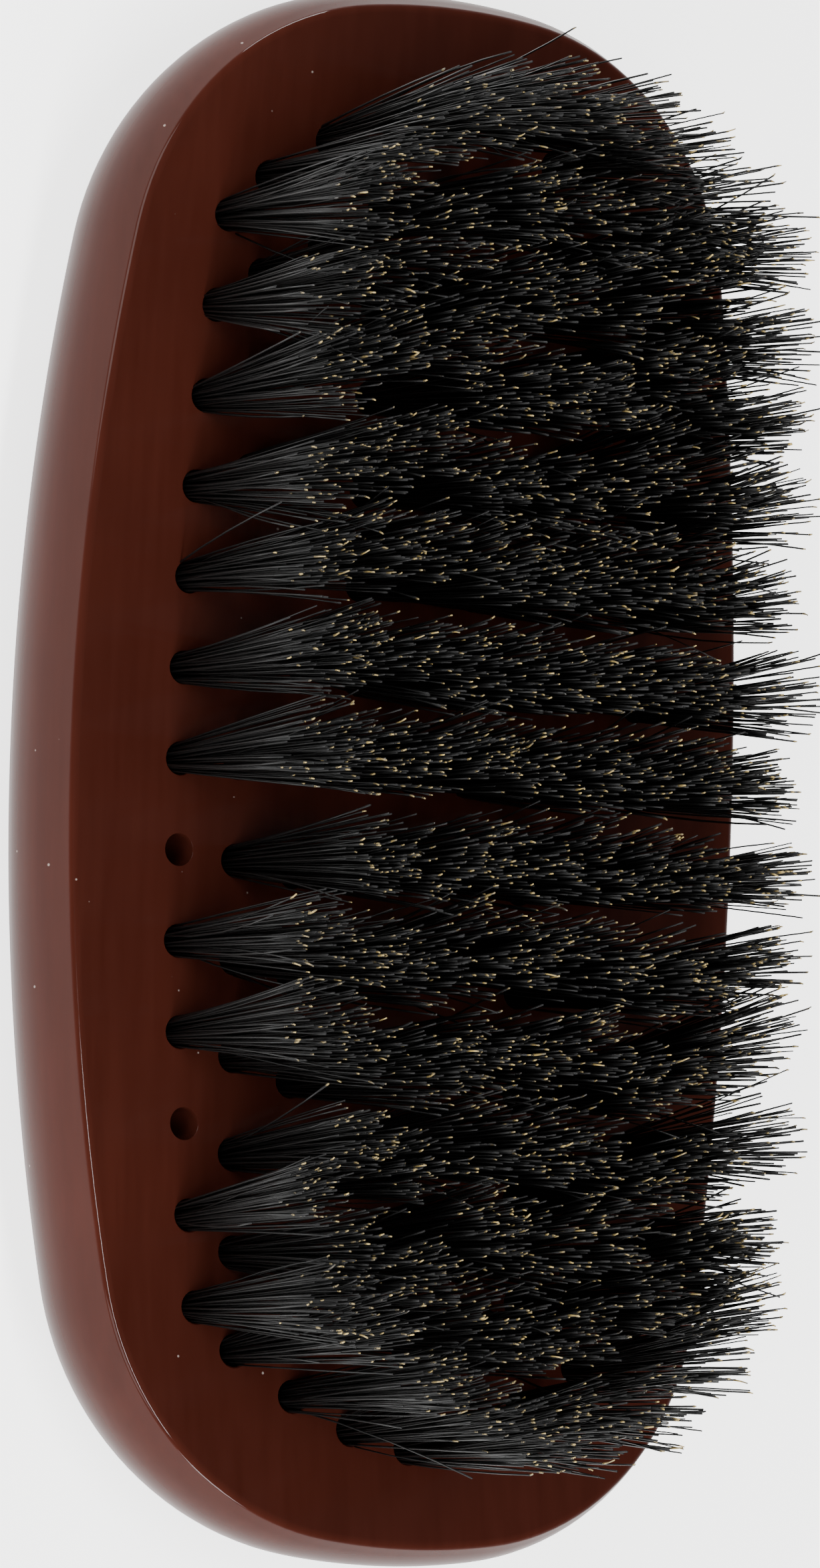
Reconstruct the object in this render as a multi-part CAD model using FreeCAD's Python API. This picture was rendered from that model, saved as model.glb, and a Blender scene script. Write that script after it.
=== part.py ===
"""Palm beard brush: a bowed, dished hardwood block with boar-bristle tufts wired into drilled holes.

Frame, in millimetres: +Y runs along the brush, +X across it and +Z out of the bristle face, so the
brush lies on its back with its bristles up. The origin is the middle of the flat land of the back.
"""
import FreeCAD, Part
import math
import os

V = FreeCAD.Vector

# ---- wooden block, measured at the rim of the bristle face ----
LENGTH = 127.0          # over the two bowed ends
WIDTH = 65.0            # over the two bowed sides
THICKNESS = 17.4        # from the flat land of the back to the middle of the face
SIDE_BOW = 8.0          # how far a long side bows out between the ends of the block
END_BOW = 9.0           # how far an end bows out between the two sides
CORNER_RADIUS = 24.0    # plan radius between a side and an end
CORNER_SHARE = 0.8      # the most of half the width that such a corner may take up
FACE_DISH = 3.6         # how far the ends of the face rise above its middle
WALL_BULGE = 1.6        # how far the wall swells out beyond the rim
BULGE_DEPTH = 5.0       # how far under the rim the wall is widest
LAND_INSET = 18.0       # from the rim in to the edge of the flat land on the back
ROLL_FULLNESS = 0.60    # how squarely the wall turns under, as a share of the height left to it
CROWN_FULLNESS = 0.55   # how flatly the back runs out to its land, as a share of that run
RIM_RADIUS = 0.5        # softened edge between the face and the wall
UNDER_STEPS = 8         # rings that shape the underside, from the wall to the land

# ---- drilling pattern: rows along the brush, mirrored about its long axis ----
# One entry for each row from an outermost one to the middle one: the number of holes in the row,
# and how far its end holes are set in from the end of the block.
ROW_PATTERN = ((13, 18.8), (13, 15.4), (13, 11.9), (15, 9.4), (15, 8.1))
SIDE_MARGIN = 10.1          # from the rim to the middle of an outermost row
OUTER_ROW_BOW = 2.0         # how far the end holes of an outermost row are set in from its middle
HOLE_DIAMETER = 2.7
HOLE_DEPTH = 8.0
END_LEAN = 3.4              # degrees towards the middle, for a hole right at an end of the block
BARE_HOLES = {1: (3, 6)}    # row: its holes that have lost their tufts, counted from the -Y end

# ---- bristle tufts, and the flat wires that hold them in their holes ----
BRISTLE_LENGTH = 22.0       # free length above the face
TUFT_CLEARANCE = 0.1        # between a tuft's root and the wall of its hole
TUFT_GAP = 1.0              # left between the flared tips of two rows
WIRE_THICKNESS = 0.35
WIRE_HEIGHT = 1.3
WIRE_BITE = 0.25            # how far each end of a wire bites into the wood
WIRE_LIFT = 0.8             # from the floor of the hole to the wire, where the bristles fold under it

# ---- worked out from the sizes above ----
HALF_LENGTH = LENGTH / 2
HALF_WIDTH = WIDTH / 2
PLAN_RADIUS = min(CORNER_RADIUS, CORNER_SHARE * HALF_WIDTH)
SIDE_RADIUS = (HALF_LENGTH**2 + SIDE_BOW**2) / (2 * SIDE_BOW)
END_RADIUS = (HALF_WIDTH**2 + END_BOW**2) / (2 * END_BOW)
FACE_RADIUS = (HALF_LENGTH**2 + FACE_DISH**2) / (2 * FACE_DISH)
WALL_RADIUS = (BULGE_DEPTH**2 + WALL_BULGE**2) / (2 * WALL_BULGE)
HOLE_RADIUS = HOLE_DIAMETER / 2
ROOT_RADIUS = HOLE_RADIUS - TUFT_CLEARANCE
MIDDLE_ROW = len(ROW_PATTERN)
LAST_ROW = 2 * MIDDLE_ROW - 1
ROW_STEP = (HALF_WIDTH - SIDE_MARGIN) / (MIDDLE_ROW - 1)
TIP_RADIUS = (ROW_STEP - TUFT_GAP) / 2


def face_rise(y):
    """Height of the dished face above its middle, at y along the brush."""
    return FACE_RADIUS - math.sqrt(FACE_RADIUS**2 - y**2)


def arc_points(centre, radius, start, end, count):
    """Points along an arc in plan, from one angle to another, leaving out the last."""
    angles = [start + (end - start) * i / count for i in range(count)]
    return [V(centre.x + radius * math.cos(a), centre.y + radius * math.sin(a), 0) for a in angles]


def plan_points(offset):
    """The block's outline in plan, moved outwards by offset: two sides, two ends, four corners."""
    side = V(HALF_WIDTH - SIDE_RADIUS, 0, 0)
    end = V(0, HALF_LENGTH - END_RADIUS, 0)
    to_side = SIDE_RADIUS - PLAN_RADIUS
    to_end = END_RADIUS - PLAN_RADIUS
    apart = (end - side).Length
    along = (to_side**2 - to_end**2 + apart**2) / (2 * apart)
    across = math.sqrt(to_side**2 - along**2)
    axis = (end - side).normalize()
    corner = side + axis * along + V(-axis.y, axis.x, 0) * across
    corner_start = math.atan2(corner.y - side.y, corner.x - side.x)
    corner_end = math.atan2(corner.y - end.y, corner.x - end.x)
    quarter = arc_points(side, SIDE_RADIUS + offset, 0, corner_start, 6)
    quarter += arc_points(corner, PLAN_RADIUS + offset, corner_start, corner_end, 8)
    quarter += arc_points(end, END_RADIUS + offset, corner_end, math.pi / 2, 5)
    top = V(0, HALF_LENGTH + offset, 0)
    left = [V(-p.x, p.y, 0) for p in reversed(quarter)]
    upper = quarter + [top] + left
    lower = [V(p.x, -p.y, 0) for p in reversed(upper[1:-1])]
    return upper + lower


def rim_distances():
    """How far round the rim each plan point lies, ending with the whole way round."""
    rim = plan_points(0)
    distances = [0]
    for start, end in zip(rim, rim[1:] + rim[:1]):
        distances.append(distances[-1] + (end - start).Length)
    return distances


def ring(offset, height, follow):
    """A closed curve round the block; follow is the share of the face's dish that it rises with.

    Every ring has the rim's knots, so that points that belong together are joined when it is lofted.
    """
    points = [V(p.x, p.y, height + follow * face_rise(p.y)) for p in plan_points(offset)]
    curve = Part.BSplineCurve()
    curve.interpolate(Points=points, PeriodicFlag=True, Parameters=rim_distances())
    return Part.Wire([curve.toShape()])


def under_profile(share):
    """Offset and depth below the rim, from the widest part of the wall (0) to the land (1)."""
    drop = THICKNESS - BULGE_DEPTH
    run = WALL_BULGE + LAND_INSET
    poles = (
        (WALL_BULGE, BULGE_DEPTH),
        (WALL_BULGE, BULGE_DEPTH + ROLL_FULLNESS * drop),
        (CROWN_FULLNESS * run - LAND_INSET, THICKNESS),
        (-LAND_INSET, THICKNESS),
    )
    weights = ((1 - share)**3, 3 * share * (1 - share)**2, 3 * share**2 * (1 - share), share**3)
    return tuple(sum(w * pole[axis] for w, pole in zip(weights, poles)) for axis in (0, 1))


def blank():
    """The block before it is drilled: rings lofted up from the land of the back, then dished."""
    rings = []
    for step in range(UNDER_STEPS, 0, -1):
        offset, depth = under_profile(step / UNDER_STEPS)
        height = THICKNESS - depth
        follow = math.sin(math.pi / 2 * height / (THICKNESS - BULGE_DEPTH))
        rings.append(ring(offset, height, follow))
    for depth in (BULGE_DEPTH, BULGE_DEPTH / 2, 0, -BULGE_DEPTH / 5):
        inward = WALL_RADIUS - math.sqrt(WALL_RADIUS**2 - (BULGE_DEPTH - depth)**2)
        rings.append(ring(WALL_BULGE - inward, THICKNESS - depth, 1))
    rings.append(ring(-2 * WALL_BULGE, THICKNESS + FACE_DISH + BULGE_DEPTH, 0))
    billet = Part.makeLoft(rings, True, False)
    dish = Part.makeCylinder(
        FACE_RADIUS, 2 * WIDTH, V(-WIDTH, 0, THICKNESS + FACE_RADIUS), V(1, 0, 0))
    return billet.cut(dish)


def on_rim(edge):
    """Whether an edge lies where the dished face meets the wall."""
    middle = edge.valueAt((edge.FirstParameter + edge.LastParameter) / 2)
    return abs(middle.z - THICKNESS - face_rise(middle.y)) < 0.01


def softened(block):
    """The block with the sharp edge of its face rounded over."""
    return block.makeFillet(RIM_RADIUS, [edge for edge in block.Edges if on_rim(edge)])


def hole_x(row, share):
    """How far across the brush a hole is; share is 0 at the middle of its row and 1 at the ends."""
    x = (row - MIDDLE_ROW) * ROW_STEP
    if row in (1, LAST_ROW):
        x -= math.copysign(OUTER_ROW_BOW * share**2, x)
    return x


def row_places(row):
    """Where each hole of a row opens in the face, and which way it points, from the -Y end."""
    count, inset = ROW_PATTERN[min(row, LAST_ROW + 1 - row) - 1]
    reach = HALF_LENGTH - inset
    places = []
    for index in range(count):
        share = 2 * index / (count - 1) - 1
        y = reach * share
        lean = FreeCAD.Rotation(V(1, 0, 0), END_LEAN * y / HALF_LENGTH)
        places.append(FreeCAD.Placement(V(hole_x(row, share), y, THICKNESS + face_rise(y)), lean))
    return places


def tufted_places(row):
    """The places of a row whose holes still carry a tuft."""
    bare = BARE_HOLES.get(row, ())
    return [place for index, place in enumerate(row_places(row), 1) if index not in bare]


def wire(place):
    """A flat wire across the foot of a hole, its two ends biting into the wood."""
    span = HOLE_DIAMETER + 2 * WIRE_BITE
    corner = V(-WIRE_THICKNESS / 2, -span / 2, WIRE_LIFT - HOLE_DEPTH)
    shape = Part.makeBox(WIRE_THICKNESS, span, WIRE_HEIGHT, corner)
    shape.Placement = place
    return shape


def drill(place):
    """The space one hole takes out of the wood."""
    shape = Part.makeCylinder(HOLE_RADIUS, HOLE_DEPTH + HOLE_DIAMETER, V(0, 0, -HOLE_DEPTH))
    shape.Placement = place
    return shape


def tuft(place):
    """A bundle of bristles folded under its wire: a straight root in the hole, then a flare."""
    root = Part.makeCylinder(ROOT_RADIUS, HOLE_DEPTH, V(0, 0, -HOLE_DEPTH))
    flare = Part.makeCone(ROOT_RADIUS, TIP_RADIUS, BRISTLE_LENGTH)
    shape = root.fuse(flare)
    shape.Placement = place
    return shape.cut(wire(place))


def save(name, shape):
    """Write one sub-part."""
    shape.exportStep(f"parts/{name}.step")
    print(name, "solids", len(shape.Solids), "valid", shape.isValid())


os.makedirs("parts", exist_ok=True)
cutters = []
for row in range(1, LAST_ROW + 1):
    tufted = tufted_places(row)
    save(f"bristle_row_{row}", Part.makeCompound([tuft(place) for place in tufted]))
    save(f"anchor_wires_{row}", Part.makeCompound([wire(place) for place in tufted]))
    cutters += [drill(place) for place in row_places(row)] + [wire(place) for place in tufted]
save("wooden_block", softened(blank()).cut(cutters))
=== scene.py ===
# %% [markdown]
# # A palm beard brush in Blender
# The brush is a block of stained, lacquered wood with tufts of boar bristle wired into drilled holes.
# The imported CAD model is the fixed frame: it says where the block and every tuft are. This lesson
# keeps those places, remodels the block with a surface smooth enough for gloss lacquer, and grows
# real bristles where the CAD model has plain cones.

import math
import random

import bmesh
import bpy
from mathutils import Matrix, Vector


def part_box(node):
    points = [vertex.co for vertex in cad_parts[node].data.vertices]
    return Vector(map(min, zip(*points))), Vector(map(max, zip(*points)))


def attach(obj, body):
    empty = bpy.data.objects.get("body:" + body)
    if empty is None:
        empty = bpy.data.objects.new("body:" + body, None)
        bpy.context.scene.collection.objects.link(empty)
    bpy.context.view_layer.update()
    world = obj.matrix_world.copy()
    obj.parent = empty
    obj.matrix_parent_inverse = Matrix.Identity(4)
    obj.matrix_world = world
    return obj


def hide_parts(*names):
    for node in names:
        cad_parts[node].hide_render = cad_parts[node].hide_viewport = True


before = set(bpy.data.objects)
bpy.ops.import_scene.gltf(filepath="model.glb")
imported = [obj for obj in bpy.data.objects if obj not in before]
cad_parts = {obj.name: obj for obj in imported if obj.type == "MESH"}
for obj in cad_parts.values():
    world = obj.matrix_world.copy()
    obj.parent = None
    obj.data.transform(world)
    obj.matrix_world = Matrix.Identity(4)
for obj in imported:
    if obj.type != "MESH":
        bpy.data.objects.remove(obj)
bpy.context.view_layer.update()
MM = 0.001
rows = sorted(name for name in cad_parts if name.startswith("bristle_row"))
print(len(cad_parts), "CAD nodes,", len(rows), "of them rows of tufts")

# %% [markdown]
# ## Where the tufts stand
# Each CAD row is a group of separate cones in a line along Y, so a gap in the Y values of its mesh
# points is the space between two tufts. The lowest points of a cone give the floor of its hole and
# the highest give its tip, and the line between them is the way the hole was drilled. A step twice as
# long as the others is a hole that has lost its tuft.

# %% Read the tufts from the CAD rows
HOLE_DEPTH = 8.0 * MM
HOLE_RADIUS = 1.35 * MM
TUFT_SPACE = 1.2 * MM    # a wider gap in Y lies between two tufts
END_BAND = 0.3 * MM      # points this near the floor or the tip of a cone are its end
BARE_STEP = 1.5          # a step this many times the shortest has a bare hole in it


def middle(points):
    """Centre of the box round some points."""
    low = [min(p[axis] for p in points) for axis in range(3)]
    high = [max(p[axis] for p in points) for axis in range(3)]
    return (Vector(low) + Vector(high)) / 2


def read_tufts(node):
    """(face point, direction, free length) of each tuft in a CAD row, from the -Y end."""
    points = sorted((v.co.copy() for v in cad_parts[node].data.vertices), key=lambda p: p.y)
    groups = [[points[0]]]
    for before, point in zip(points, points[1:]):
        if point.y - before.y > TUFT_SPACE:
            groups.append([])
        groups[-1].append(point)
    tufts = []
    for group in groups:
        base = min(p.z for p in group)
        top = max(p.z for p in group)
        floor_middle = middle([p for p in group if p.z < base + END_BAND])
        tip_middle = middle([p for p in group if p.z > top - END_BAND])
        along = (tip_middle - floor_middle).normalized()
        length = (tip_middle - floor_middle).length - HOLE_DEPTH
        tufts.append((floor_middle + along * HOLE_DEPTH, along, length))
    return tufts


def bare_holes(tufts):
    """(face point, direction) of the holes missing between tufts of a row."""
    steps = [b[0].y - a[0].y for a, b in zip(tufts, tufts[1:])]
    widest = BARE_STEP * min(steps)
    return [((a[0] + b[0]) / 2, ((a[1] + b[1]) / 2).normalized())
            for a, b, step in zip(tufts, tufts[1:], steps) if step > widest]


row_tufts = {node: read_tufts(node) for node in rows}
holes = [(point, along) for node in rows for point, along, _ in row_tufts[node]]
holes += [hole for node in rows for hole in bare_holes(row_tufts[node])]
print(sum(len(t) for t in row_tufts.values()), "tufts in", len(holes), "holes")

# %% [markdown]
# ## The shape of the block
# Seen from above, the block is a bowed oval: two long side arcs, two end arcs and four corner arcs
# that are tangent to both. The face is dished along its length. Under the rim the wall swells out,
# rolls in and runs flat on the back. The same sizes as in the CAD model give the same shape, and the
# overall length and width are read from the CAD block, while its thickness is given as a number.

# %% Sizes of the block
_, block_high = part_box("wooden_block")
WALL_BULGE = 1.6 * MM
BULGE_DEPTH = 5.0 * MM
SIDE_BOW = 8.0 * MM
END_BOW = 9.0 * MM
CORNER_RADIUS = 24.0 * MM
FACE_DISH = 3.6 * MM
THICKNESS = 17.4 * MM
LAND_INSET = 18.0 * MM
ROLL_FULLNESS = 0.60
CROWN_FULLNESS = 0.55
RIM_RADIUS = 0.5 * MM
half_length = block_high[1] - WALL_BULGE
half_width = block_high[0] - WALL_BULGE


def sagitta_radius(half_chord, bow):
    """Radius of an arc that rises by bow over half a chord."""
    return (half_chord**2 + bow**2) / (2 * bow)


side_radius = sagitta_radius(half_length, SIDE_BOW)
end_radius = sagitta_radius(half_width, END_BOW)
face_radius = sagitta_radius(half_length, FACE_DISH)
wall_radius = sagitta_radius(BULGE_DEPTH, WALL_BULGE)
print(f"block {2 * half_width / MM:.1f} by {2 * half_length / MM:.1f} mm at the rim")

# %% The plan outline
SIDE_STEPS, CORNER_STEPS, END_STEPS = 22, 24, 12


def corner_arc():
    """Centre of the corner arc at +X, +Y, and the angles where it meets the side and the end."""
    side_x = half_width - side_radius
    end_y = half_length - end_radius
    to_side = side_radius - CORNER_RADIUS
    to_end = end_radius - CORNER_RADIUS
    apart = math.hypot(side_x, end_y)
    along = (to_side**2 - to_end**2 + apart**2) / (2 * apart)
    across = math.sqrt(to_side**2 - along**2)
    axis = Vector((-side_x, end_y)) / apart
    centre = Vector((side_x, 0)) + axis * along + Vector((-axis.y, axis.x)) * across
    start = math.atan2(centre.y, centre.x - side_x)
    stop = math.atan2(centre.y - end_y, centre.x)
    return centre, start, stop


def arc_points(centre, radius, start, stop, steps):
    """Points along an arc from start up to, but not including, stop."""
    turns = [start + (stop - start) * i / steps for i in range(steps)]
    return [Vector((centre[0] + radius * math.cos(t), centre[1] + radius * math.sin(t)))
            for t in turns]


def outline(offset):
    """Points round the outline, anticlockwise from +X, moved out by offset."""
    side = (half_width - side_radius, 0)
    corner, start, stop = corner_arc()
    end = (0, half_length - end_radius)
    quarter = arc_points(side, side_radius + offset, 0, start, SIDE_STEPS)
    quarter += arc_points(corner, CORNER_RADIUS + offset, start, stop, CORNER_STEPS)
    quarter += arc_points(end, end_radius + offset, stop, math.pi / 2, END_STEPS)
    mirrored = [Vector((-p.x, p.y)) for p in reversed(quarter)]
    upper = quarter + [Vector((0, half_length + offset))] + mirrored
    return upper + [Vector((p.x, -p.y)) for p in reversed(upper[1:-1])]


def face_rise(y):
    """Height of the dished face above its middle."""
    return face_radius - math.sqrt(face_radius**2 - y**2)


print(len(outline(0)), "points round the block")

# %% [markdown]
# ## Building the block
# A circle is laid on the edge of the face. It is extruded ring by ring over the rim that sanding has
# rounded, down the wall and under the block, as a turner follows a profile, and closed across the
# flat land. The face is bridged across the brush, so each strip is truly flat across and the dish is
# smooth along it. Laying the rounded rim as rings keeps its highlight even, where a bevel would
# follow every small change of angle.

# %% Rings over the rim, down the wall and under the block
RIM_RINGS = 5
WALL_RINGS = 7
UNDER_RINGS = 26


def swell(depth):
    """How far the wall stands outside the rim at one depth."""
    return WALL_BULGE - wall_radius + math.sqrt(wall_radius**2 - (BULGE_DEPTH - depth)**2)


def wall_profile():
    """(offset, depth, share of the dish) for each ring after the edge of the face."""
    profile = []
    for step in range(1, RIM_RINGS + 1):
        turn = math.pi / 2 * step / RIM_RINGS
        out = (swell(RIM_RADIUS) + RIM_RADIUS) * math.sin(turn)
        profile.append((out - RIM_RADIUS, RIM_RADIUS * (1 - math.cos(turn)), 1.0))
    for step in range(1, WALL_RINGS + 1):
        depth = RIM_RADIUS + (BULGE_DEPTH - RIM_RADIUS) * step / WALL_RINGS
        profile.append((swell(depth), depth, 1.0))
    drop = THICKNESS - BULGE_DEPTH
    run = WALL_BULGE + LAND_INSET
    poles = (
        (WALL_BULGE, BULGE_DEPTH),
        (WALL_BULGE, BULGE_DEPTH + ROLL_FULLNESS * drop),
        (CROWN_FULLNESS * run - LAND_INSET, THICKNESS),
        (-LAND_INSET, THICKNESS),
    )
    for step in range(1, UNDER_RINGS + 1):
        t = step / UNDER_RINGS
        weights = ((1 - t)**3, 3 * t * (1 - t)**2, 3 * t**2 * (1 - t), t**3)
        offset, depth = (sum(w * pole[axis] for w, pole in zip(weights, poles)) for axis in (0, 1))
        share = math.sin(math.pi / 2 * (THICKNESS - depth) / drop)
        profile.append((offset, depth, share))
    return profile


print(len(wall_profile()), "rings outside the edge of the face")


# %% Lay the rings and close the block
def lay_ring(verts, offset, depth, share):
    """Move a loop of points on to the outline at one depth."""
    for vert, point in zip(verts, outline(offset)):
        vert.co = (point.x, point.y, THICKNESS - depth + share * face_rise(point.y))


def extrude_ring(bm, ring):
    """Extrude a closed loop of points and return the new loop in the same order."""
    loop = [bm.edges.get((ring[i - 1], ring[i])) for i in range(len(ring))]
    made = bmesh.ops.extrude_edge_only(bm, edges=loop)["geom"]
    above = {}
    for vert in (item for item in made if isinstance(item, bmesh.types.BMVert)):
        for edge in vert.link_edges:
            above[edge.other_vert(vert)] = vert
    return [above[vert] for vert in ring]


def bridge_face(bm, rim):
    """Close the bristle face with strips that run straight across from one side to the other."""
    quarter = len(rim) // 4
    for step in range(-quarter, quarter):
        right = [rim[step], rim[step + 1]]
        left = [rim[(2 * quarter - step - 1) % len(rim)], rim[(2 * quarter - step) % len(rim)]]
        corners = list(dict.fromkeys(right + left))    # three where the two sides meet at an end
        bm.faces.new(corners)


def build_block():
    """The block before it is drilled."""
    bm = bmesh.new()
    rim = bmesh.ops.create_circle(bm, segments=len(outline(0)), radius=half_width)["verts"]
    lay_ring(rim, -RIM_RADIUS, 0, 1)
    ring = rim
    for offset, depth, share in wall_profile():
        ring = extrude_ring(bm, ring)
        lay_ring(ring, offset, depth, share)
    bmesh.ops.contextual_create(bm, geom=ring)
    bridge_face(bm, rim)
    bmesh.ops.recalc_face_normals(bm, faces=bm.faces)
    return bm


def to_object(name, bm):
    """Turn a bmesh into a smooth-shaded object in the scene."""
    for face in bm.faces:
        face.smooth = True
    mesh = bpy.data.meshes.new(name)
    bm.to_mesh(mesh)
    bm.free()
    made = bpy.data.objects.new(name, mesh)
    bpy.context.scene.collection.objects.link(made)
    return made


block = to_object("lacquered_block", build_block())
print("undrilled block:", len(block.data.polygons), "faces")

# %% [markdown]
# ## Drilling the holes
# Each hole is drilled where its tuft stands and along the tuft's own direction. The drill is spun
# from a profile, like a turned part, with a small flare where it meets the face, because lacquer
# rounds the lip of a drilled hole. All drills are one mesh, and one Boolean takes them all out.

# %% Drill
LIP = 0.06 * MM
ABOVE = 1.0 * MM
DRILL_SIDES = 24
WELD = 0.001 * MM
SHARP_ANGLE = math.radians(32)
DRILL_PROFILE = (
    (0, -HOLE_DEPTH),
    (HOLE_RADIUS, -HOLE_DEPTH),
    (HOLE_RADIUS, -LIP),
    (HOLE_RADIUS + 2 * LIP, LIP),
    (HOLE_RADIUS + 2 * LIP, ABOVE),
    (0, ABOVE),
)


def add_drill(bm, point, along):
    """Spin the drill's profile round one hole's axis."""
    turn = Vector((0, 0, 1)).rotation_difference(along).to_matrix().to_4x4()
    place = Matrix.Translation(point) @ turn
    verts = [bm.verts.new(place @ Vector((radius, 0, height))) for radius, height in DRILL_PROFILE]
    edges = [bm.edges.new(pair) for pair in zip(verts, verts[1:])]
    bmesh.ops.spin(bm, geom=verts + edges, cent=point, axis=along, angle=2 * math.pi,
                   steps=DRILL_SIDES, use_merge=True, use_duplicate=False)


print("each drill has", DRILL_SIDES, "sides")


# %% Drill the block
def drill(piece, holes):
    """Take every hole out of a piece and keep the edges of the holes crisp."""
    bm = bmesh.new()
    for point, along in holes:
        add_drill(bm, point, along)
    bmesh.ops.remove_doubles(bm, verts=bm.verts, dist=WELD)
    bmesh.ops.recalc_face_normals(bm, faces=bm.faces)
    drills = to_object("drills", bm)
    cut = piece.modifiers.new("holes", "BOOLEAN")
    cut.operation = "DIFFERENCE"
    cut.solver = "EXACT"
    cut.object = drills
    drilled = piece.evaluated_get(bpy.context.evaluated_depsgraph_get())
    result = bpy.data.meshes.new_from_object(drilled)
    piece.modifiers.clear()
    piece.data = result
    bpy.data.objects.remove(drills)
    bm = bmesh.new()
    bm.from_mesh(result)
    for edge in bm.edges:
        edge.smooth = edge.is_manifold and edge.calc_face_angle() < SHARP_ANGLE
    loose = sum(not edge.is_manifold for edge in bm.edges)
    bm.to_mesh(result)
    bm.free()
    even = piece.modifiers.new("even shading", "WEIGHTED_NORMAL")
    even.keep_sharp = True
    print("drilled block:", len(result.polygons), "faces,", loose, "open edges")


drill(block, holes)

# %% [markdown]
# ## A helper for materials
# Colours are written as the hex values a designer would pick, and one function turns them into the
# linear values that the shader needs. A second small function adds a node, sets it and links it. A
# Mix node has sockets of the same name for numbers, vectors and colours, so its colour sockets are
# given by number.

# %% Material helpers
MIX_A, MIX_B, MIX_RESULT = 6, 7, 2


def colour(code):
    """Linear colour from an sRGB hex code."""
    channels = [int(code[i:i + 2], 16) / 255 for i in (1, 3, 5)]
    linear = [c / 12.92 if c <= 0.04045 else ((c + 0.055) / 1.055)**2.4 for c in channels]
    return (*linear, 1.0)


def add(material, kind, inputs, **settings):
    """Add a node: settings are its own properties, inputs its sockets by name or number."""
    node = material.node_tree.nodes.new(kind)
    for name, value in settings.items():
        setattr(node, name, value)
    for name, value in inputs.items():
        if isinstance(value, bpy.types.NodeSocket):
            material.node_tree.links.new(value, node.inputs[name])
        else:
            node.inputs[name].default_value = value
    return node


def new_material(name, **surface):
    """An empty node material with its Principled shader's constant sockets set."""
    material = bpy.data.materials.new(name)
    material.use_nodes = True
    shader = material.node_tree.nodes["Principled BSDF"]
    for socket, value in surface.items():
        shader.inputs[socket.replace("_", " ")].default_value = value
    return material, shader


print("a dark cherry stain in linear values:", [round(value, 3) for value in colour("#371710")])

# %% [markdown]
# ## Stained hardwood under gloss lacquer
# Beech or maple takes a dark cherry stain unevenly: it soaks deeper into softer bands, so the colour
# drifts along the grain. Over it lie several coats of gloss lacquer, which fill the pores and give a
# sharp reflection over the softer sheen of the wood. The Principled shader's coat is that lacquer.
# Specks of dust settle in lacquer as it dries: points of a Voronoi pattern that happen to lie close
# to the surface make a few of them, unevenly spread.

# %% The wood
GRAIN_WIDTH = 1.11 * MM
GRAIN_STRETCH = 0.06
BLOTCH_WIDTH = 22.2 * MM
RIPPLE_WIDTH = 2.86 * MM
RIPPLE_HEIGHT = 0.02 * MM
DUST_SPACING = 3.2 * MM
DUST_RADIUS = 0.13 * MM


def lacquered_wood():
    """Stain that drifts in blotches and along the grain, under dusty, slightly rippled lacquer."""
    material, shader = new_material("Cherry-stained hardwood, gloss lacquered",
                                    Roughness=0.5, Specular_IOR_Level=0.0,
                                    Coat_Weight=0.3, Coat_Roughness=0.06, Coat_IOR=1.4)
    place = add(material, "ShaderNodeTexCoord", {}).outputs["Object"]
    along_grain = add(material, "ShaderNodeMapping",
                      {"Vector": place, "Scale": (1, GRAIN_STRETCH, 1)})
    grain = add(material, "ShaderNodeTexNoise",
                {"Vector": along_grain.outputs[0], "Scale": 1 / GRAIN_WIDTH,
                 "Detail": 5.0, "Roughness": 0.6})
    blotch = add(material, "ShaderNodeTexNoise",
                 {"Vector": place, "Scale": 1 / BLOTCH_WIDTH, "Detail": 3.0, "Roughness": 0.5})
    stain = add(material, "ShaderNodeMix",
                {0: blotch.outputs[0], MIX_A: colour("#270f0a"), MIX_B: colour("#371710")},
                data_type="RGBA")
    line = add(material, "ShaderNodeMapRange",
               {"Value": grain.outputs[0], "From Min": 0.35, "From Max": 0.7,
                "To Min": 0.0, "To Max": 0.3})
    wood = add(material, "ShaderNodeMix",
               {0: line.outputs[0], MIX_A: stain.outputs[MIX_RESULT], MIX_B: colour("#220804")},
               data_type="RGBA")
    cells = add(material, "ShaderNodeTexVoronoi", {"Vector": place, "Scale": 1 / DUST_SPACING})
    edge = DUST_RADIUS / DUST_SPACING
    speck = add(material, "ShaderNodeMapRange",
                {"Value": cells.outputs["Distance"], "From Min": edge, "From Max": 0.7 * edge,
                 "To Min": 0.0, "To Max": 0.5})
    dusty = add(material, "ShaderNodeMix",
                {0: speck.outputs[0], MIX_A: wood.outputs[MIX_RESULT], MIX_B: colour("#9a8f88")},
                data_type="RGBA")
    material.node_tree.links.new(dusty.outputs[MIX_RESULT], shader.inputs["Base Color"])
    ripple = add(material, "ShaderNodeTexNoise",
                 {"Vector": place, "Scale": 1 / RIPPLE_WIDTH, "Detail": 2.0})
    bump = add(material, "ShaderNodeBump",
               {"Height": ripple.outputs[0], "Strength": 0.25, "Distance": RIPPLE_HEIGHT})
    for socket in ("Normal", "Coat Normal"):
        material.node_tree.links.new(bump.outputs[0], shader.inputs[socket])
    return material


def dress(piece, *materials):
    """Give a piece its materials, in the order of its faces' material numbers."""
    for material in materials:
        piece.data.materials.append(material)


dress(block, lacquered_wood())
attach(block, "root")
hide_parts("wooden_block")
print("block dressed")

# %% [markdown]
# ## Bright steel wire for the anchors
# The flat wires at the foot of each hole keep their CAD shape. They are drawn steel, with fine lines
# along the wire that blur the reflection.

# %% The anchor wires
LINE_WIDTH = 0.083 * MM
LINE_STRETCH = 0.05


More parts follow.
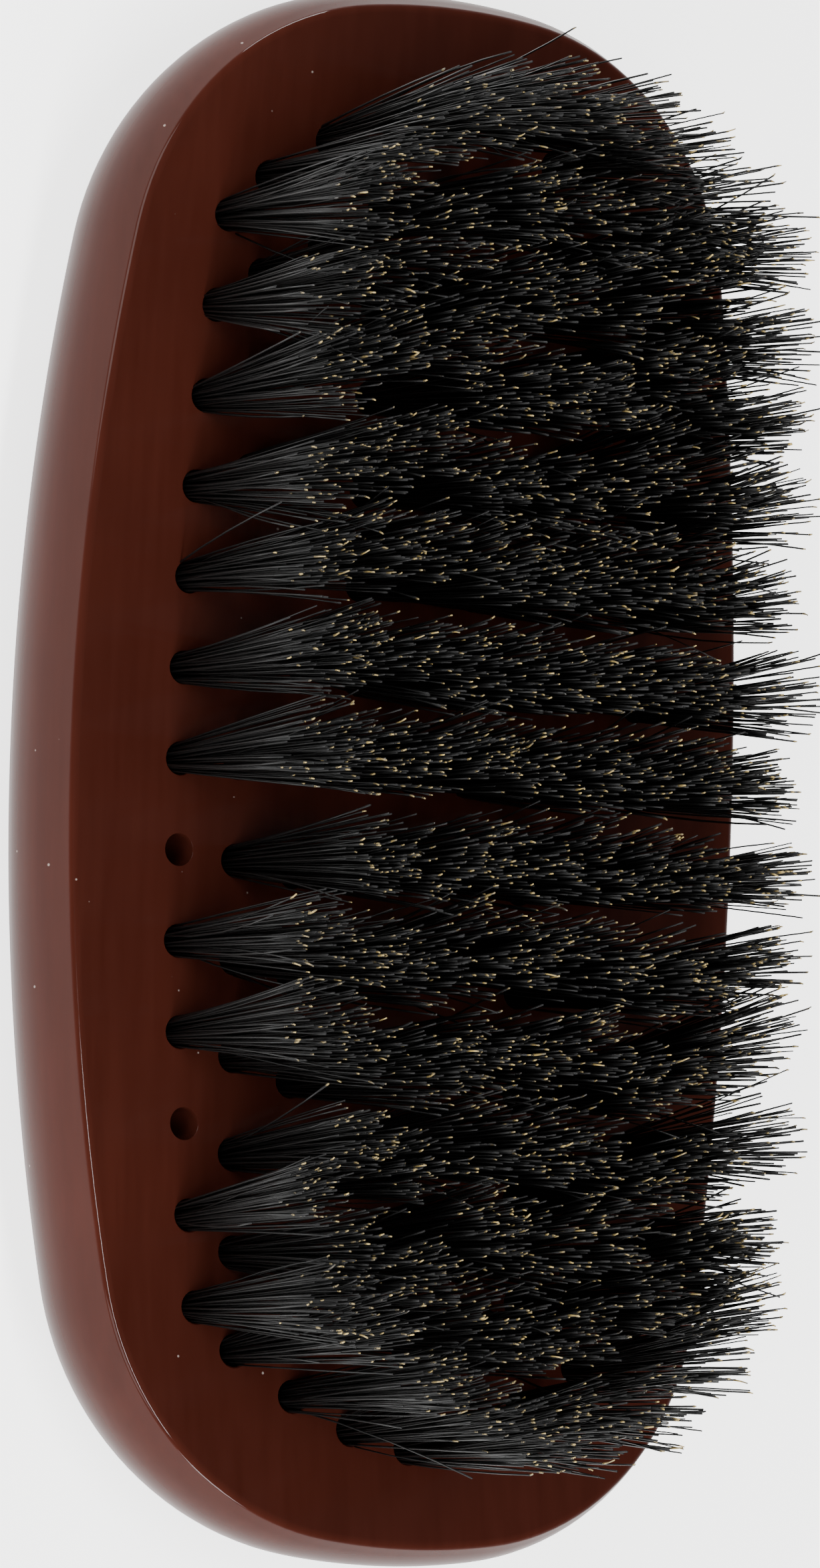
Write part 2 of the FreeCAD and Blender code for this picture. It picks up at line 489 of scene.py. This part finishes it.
def drawn_steel():
    """Steel whose gloss varies in fine lines, as the drawing die leaves it."""
    material, shader = new_material("Bright drawn steel wire", Metallic=1.0)
    shader.inputs["Base Color"].default_value = colour("#b9bbbd")
    place = add(material, "ShaderNodeTexCoord", {}).outputs["Object"]
    stretched = add(material, "ShaderNodeMapping", {"Vector": place, "Scale": (1, LINE_STRETCH, 1)})
    lines = add(material, "ShaderNodeTexNoise",
                {"Vector": stretched.outputs[0], "Scale": 1 / LINE_WIDTH})
    rough = add(material, "ShaderNodeMapRange",
                {"Value": lines.outputs[0], "To Min": 0.2, "To Max": 0.45})
    material.node_tree.links.new(rough.outputs[0], shader.inputs["Roughness"])
    return material


steel = drawn_steel()
wires = [node for name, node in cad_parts.items() if name.startswith("anchor_wires")]
for node in wires:
    for slot in node.material_slots:
        slot.material = steel
print(len(wires), "rows of wires dressed")

# %% [markdown]
# ## Boar bristle
# A hog's bristle is a stiff tapered hair, black along its shaft and paler where its end has split
# into flags. A tuft holds about a hundred, gripped tightly in the hole and fanning out above it.
# Each is a curve with a thin bevel, which is quick to lay in the thousands and comes out as a clean
# closed tube. Its root is a point in the hole, its tip is pushed outwards in proportion, and it bows
# a little to one side. A few are strays that lean further, and some are worn shorter. Two in five
# carry a split end: a short, thinner curve that leaves the end of the shaft.

# %% One tuft's bristles
BUNDLE_RADIUS = 1.15 * MM
ROOT_DEPTH = 1.6 * MM
STEPS = (0.0, 0.28, 0.55, 0.8, 1.0)    # where a bristle has a point, as shares of its length
BOW_GAIN = 1.6
STRAY_SHARE = 0.07
STRAY_SCATTER, STRAY_BOW = 1.8 * MM, 1.6 * MM
TIDY_SCATTER, TIDY_BOW = 0.5 * MM, 0.7 * MM
LENGTH_SHARE = (0.92, 1.0)
SHORT_SHARE = 0.12
SHORT_LENGTH = (0.75, 0.95)


def in_disc(rng, radius):
    """A random point in a disc, spread evenly."""
    turn = rng.uniform(0, 2 * math.pi)
    reach = radius * math.sqrt(rng.random())
    return Vector((reach * math.cos(turn), reach * math.sin(turn), 0))


def bristle_path(rng, length, fan):
    """Points of one bristle from inside its hole to its end, in the tuft's own frame."""
    root = in_disc(rng, BUNDLE_RADIUS)
    stray = rng.random() < STRAY_SHARE
    scatter = STRAY_SCATTER if stray else TIDY_SCATTER
    tip = root * fan + Vector((rng.gauss(0, scatter), rng.gauss(0, scatter), 0))
    bow = in_disc(rng, STRAY_BOW if stray else TIDY_BOW)
    reach = length * rng.uniform(*LENGTH_SHARE)
    if rng.random() < SHORT_SHARE:
        reach *= rng.uniform(*SHORT_LENGTH)
    path = []
    for t in STEPS:
        sideways = root.lerp(tip, t) + bow * (t * (1 - t) * BOW_GAIN)
        path.append(sideways + Vector((0, 0, -ROOT_DEPTH + (reach + ROOT_DEPTH) * t)))
    return path


print(len(STEPS), "points along each bristle")

# %% A whole tuft
BRISTLES = 92
LEAN = 0.55 * MM
FAN = (2.3, 3.8)      # how many times wider a tuft is at its tips than at its root
THICK = (0.8, 1.15)
SHAFT_RADIUS = 0.09 * MM
END_RADIUS = 0.08 * MM
FLAG_RADII = (0.0896 * MM, 0.0715 * MM, 0.065 * MM)    # on the shaft, half way and at its end
FLAG_LENGTH = (0.25 * MM, 0.65 * MM)
LONG_FLAG_SHARE = 0.06
LONG_FLAG = 2.5
FLAG_COUNTS = (0, 0, 0, 0, 1, 1, 1)    # one of these is drawn for each bristle
FLAG_OVERLAP = 0.2 * MM
FLAG_SPREAD = 0.25
FLAG_BEND = 0.35


def add_spline(curve, path, radii):
    """One bristle or flag as a straight-segment spline."""
    spline = curve.splines.new("POLY")
    spline.points.add(len(path) - 1)
    spline.points.foreach_set("co", [value for point in path for value in (*point, 1.0)])
    spline.points.foreach_set("radius", radii)


def grow_tuft(shafts, flags, rng, point, along, length):
    """Add every bristle of one tuft to the curves of its row."""
    turn = Vector((0, 0, 1)).rotation_difference(along).to_matrix().to_4x4()
    place = Matrix.Translation(point) @ turn
    lean = Vector((rng.gauss(0, LEAN), rng.gauss(0, LEAN), 0))
    fan = rng.uniform(*FAN)
    for _ in range(BRISTLES):
        path = bristle_path(rng, length, fan)
        path = [p + lean * t for p, t in zip(path, STEPS)]
        thick = rng.uniform(*THICK)
        radii = [thick * (SHAFT_RADIUS + (END_RADIUS - SHAFT_RADIUS) * t) for t in STEPS]
        add_spline(shafts, [place @ p for p in path], radii)
        heading = (path[-1] - path[-2]).normalized()
        reach = rng.uniform(*FLAG_LENGTH)
        if rng.random() < LONG_FLAG_SHARE:
            reach *= LONG_FLAG
        for _ in range(rng.choice(FLAG_COUNTS)):
            split = in_disc(rng, FLAG_SPREAD * reach)
            start = path[-1] - heading * FLAG_OVERLAP
            bend = start + heading * reach / 2 + split * FLAG_BEND
            flag = [start, bend, start + heading * reach + split]
            radii = [thick * FLAG_RADII[0], thick * FLAG_RADII[1], FLAG_RADII[2]]
            add_spline(flags, [place @ p for p in flag], radii)


print(BRISTLES, "bristles in a tuft")


# %% A row of tufts
TUBE_WELD = 0.0005 * MM


def tube_curve(name):
    """An empty curve whose splines become closed four-sided tubes."""
    curve = bpy.data.curves.new(name, "CURVE")
    curve.dimensions = "3D"
    curve.bevel_depth = 1.0
    curve.bevel_resolution = 0
    curve.use_fill_caps = True
    return curve


def grow_row(name, tufts, seed):
    """One mesh with every bristle of a row: shafts in the first material, flags in the second."""
    rng = random.Random(seed)
    shafts, flags = tube_curve("shafts"), tube_curve("flags")
    for point, along, length in tufts:
        grow_tuft(shafts, flags, rng, point, along, length)
    bm = bmesh.new()
    for material_index, curve in enumerate((shafts, flags)):
        holder = bpy.data.objects.new("holder", curve)
        mesh = bpy.data.meshes.new_from_object(holder)
        for polygon in mesh.polygons:
            polygon.material_index = material_index
        bm.from_mesh(mesh)
        bpy.data.objects.remove(holder)
        bpy.data.meshes.remove(mesh)
    bmesh.ops.remove_doubles(bm, verts=bm.verts, dist=TUBE_WELD)
    return to_object(name, bm)


print("rows to grow:", len(rows))

# %% [markdown]
# ## The colour of bristle
# Dyed or naturally black hog bristle is not pure black: its shaft is charcoal with a soft sheen like
# horn, and its split end shows the pale, straw-coloured core.

# %% Bristle materials
SHAFT_TONE_WIDTH = 0.455 * MM
SHAFT_STRETCH = 0.03
FLAG_TONE_WIDTH = 1.25 * MM


def bristle_shaft():
    """Charcoal horn with a soft sheen, each bristle a little lighter or darker than the next."""
    material, shader = new_material("Black hog bristle, natural sheen", Roughness=0.42,
                                    Specular_IOR_Level=0.18)
    place = add(material, "ShaderNodeTexCoord", {}).outputs["Object"]
    single = add(material, "ShaderNodeMapping", {"Vector": place, "Scale": (1, 1, SHAFT_STRETCH)})
    shade = add(material, "ShaderNodeTexNoise",
                {"Vector": single.outputs[0], "Scale": 1 / SHAFT_TONE_WIDTH})
    dark = add(material, "ShaderNodeMix",
               {0: shade.outputs[0], MIX_A: colour("#030303"), MIX_B: colour("#0a0a0a")},
               data_type="RGBA")
    material.node_tree.links.new(dark.outputs[MIX_RESULT], shader.inputs["Base Color"])
    return material


def bristle_flag():
    """The core of a split end, from nearly black to straw as the split is fresh or worn."""
    material, shader = new_material("Split straw-coloured bristle end", Roughness=0.5, IOR=1.55)
    place = add(material, "ShaderNodeTexCoord", {}).outputs["Object"]
    shade = add(material, "ShaderNodeTexNoise",
                {"Vector": place, "Scale": 1 / FLAG_TONE_WIDTH, "Detail": 3.0})
    wide = add(material, "ShaderNodeMapRange",
               {"Value": shade.outputs[0], "From Min": 0.38, "From Max": 0.68})
    straw = add(material, "ShaderNodeMix",
                {0: wide.outputs[0], MIX_A: colour("#15120c"), MIX_B: colour("#a08a52")},
                data_type="RGBA")
    material.node_tree.links.new(straw.outputs[MIX_RESULT], shader.inputs["Base Color"])
    return material


shaft_material = bristle_shaft()
flag_material = bristle_flag()
print(shaft_material.name, "and", flag_material.name)

# %% Grow every row
for seed, node in enumerate(rows):
    row = grow_row(node + "_bristles", row_tufts[node], seed)
    dress(row, shaft_material, flag_material)
    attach(row, "root")
    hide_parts(node)
    print(row.name, len(row.data.polygons), "faces")

# %% [markdown]
# ## Floor, light and camera
# The brush lies on its back on a pale, backlit sheet. The light is soft, as in a light tent: two broad
# keys from the left, walls that glow near the horizon and a dim top, so that the dark face mirrors the
# dim top and the walls of the block mirror the glow. A strip overhead and a small box at each end draw
# the bright lines on the rounded rim. The camera is a long lens a metre away.

# %% Floor
FLOOR_HALF = 3.0
bm = bmesh.new()
bmesh.ops.create_grid(bm, x_segments=1, y_segments=1, size=FLOOR_HALF)
floor = to_object("floor", bm)
floor_material, floor_shader = new_material("Backlit opal acrylic sheet",
                                            Roughness=0.9, Emission_Strength=2.0)
floor_shader.inputs["Base Color"].default_value = colour("#f4f4f2")
floor_shader.inputs["Emission Color"].default_value = colour("#ffffff")
dress(floor, floor_material)
print("floor", 2 * FLOOR_HALF, "m square")

# %% Camera
TURN = math.radians(-33.34)
TILT = math.radians(4.54)
ROLL = math.radians(1.69)
DISTANCE = 1.0
SLIDE = (0.06 * MM, -0.56 * MM)
LENS = 531.3
turned = Matrix.Rotation(TURN, 3, "Y") @ Matrix.Rotation(TILT, 3, "X") @ Matrix.Rotation(ROLL, 3, "Z")
aim = Vector((0, 0, THICKNESS))
camera = bpy.data.objects.new("camera", bpy.data.cameras.new("camera"))
bpy.context.scene.collection.objects.link(camera)
back_off = Matrix.Translation((*SLIDE, DISTANCE))
camera.matrix_world = Matrix.Translation(aim) @ turned.to_4x4() @ back_off
camera.data.sensor_fit = "HORIZONTAL"
camera.data.sensor_width = 36
camera.data.lens = LENS
bpy.context.scene.camera = camera
print("camera", DISTANCE, "m away with a", LENS, "mm lens")

# %% Lights
# name, direction from the brush, distance, width and length in metres, watts
SOFTBOXES = (
    ("key_far", (-0.9, 0.55, 0.75), 0.8, 0.4, 0.4, 4),
    ("key_near", (-0.9, -0.55, 0.75), 0.8, 0.4, 0.4, 4),
    ("far_end", (0.0, 1.0, 0.3), 0.6, 0.25, 0.12, 4),
    ("near_end", (-0.25, -1.0, 0.3), 0.6, 0.25, 0.12, 5),
    ("overhead_strip", (-0.3, -0.28, 0.95), 0.8, 0.04, 0.5, 7),
)


def softbox(name, toward, distance, width, length, watts):
    """A soft rectangular light that shines on the brush, its length lying along the brush."""
    data = bpy.data.lights.new(name, "AREA")
    data.shape = "RECTANGLE"
    data.size = width
    data.size_y = length
    data.energy = watts
    lamp = bpy.data.objects.new(name, data)
    bpy.context.scene.collection.objects.link(lamp)
    back = Vector(toward).normalized()
    across = Vector((0, 1, 0)).cross(back).normalized()
    turn = Matrix((across, back.cross(across), back)).transposed()
    lamp.matrix_world = Matrix.Translation(aim + back * distance) @ turn.to_4x4()


for box in SOFTBOXES:
    softbox(*box)
print(len(SOFTBOXES), "softboxes")

# %% The tent: bright walls and a dim top
WALLS, TOP = 1.6, 0.2
world = bpy.data.worlds.new("surround")
bpy.context.scene.world = world
world.use_nodes = True
tent = world.node_tree.nodes["Background"]
tent.inputs["Color"].default_value = colour("#ffffff")
direction = add(world, "ShaderNodeTexCoord", {}).outputs["Generated"]
height = add(world, "ShaderNodeSeparateXYZ", {"Vector": direction}).outputs["Z"]
glow = add(world, "ShaderNodeMapRange",
           {"Value": height, "From Min": 0.1, "From Max": 0.6, "To Min": WALLS, "To Max": TOP},
           interpolation_type="SMOOTHSTEP")
world.node_tree.links.new(glow.outputs[0], tent.inputs["Strength"])
print("tent glows", WALLS, "at its walls and", TOP, "at its top")
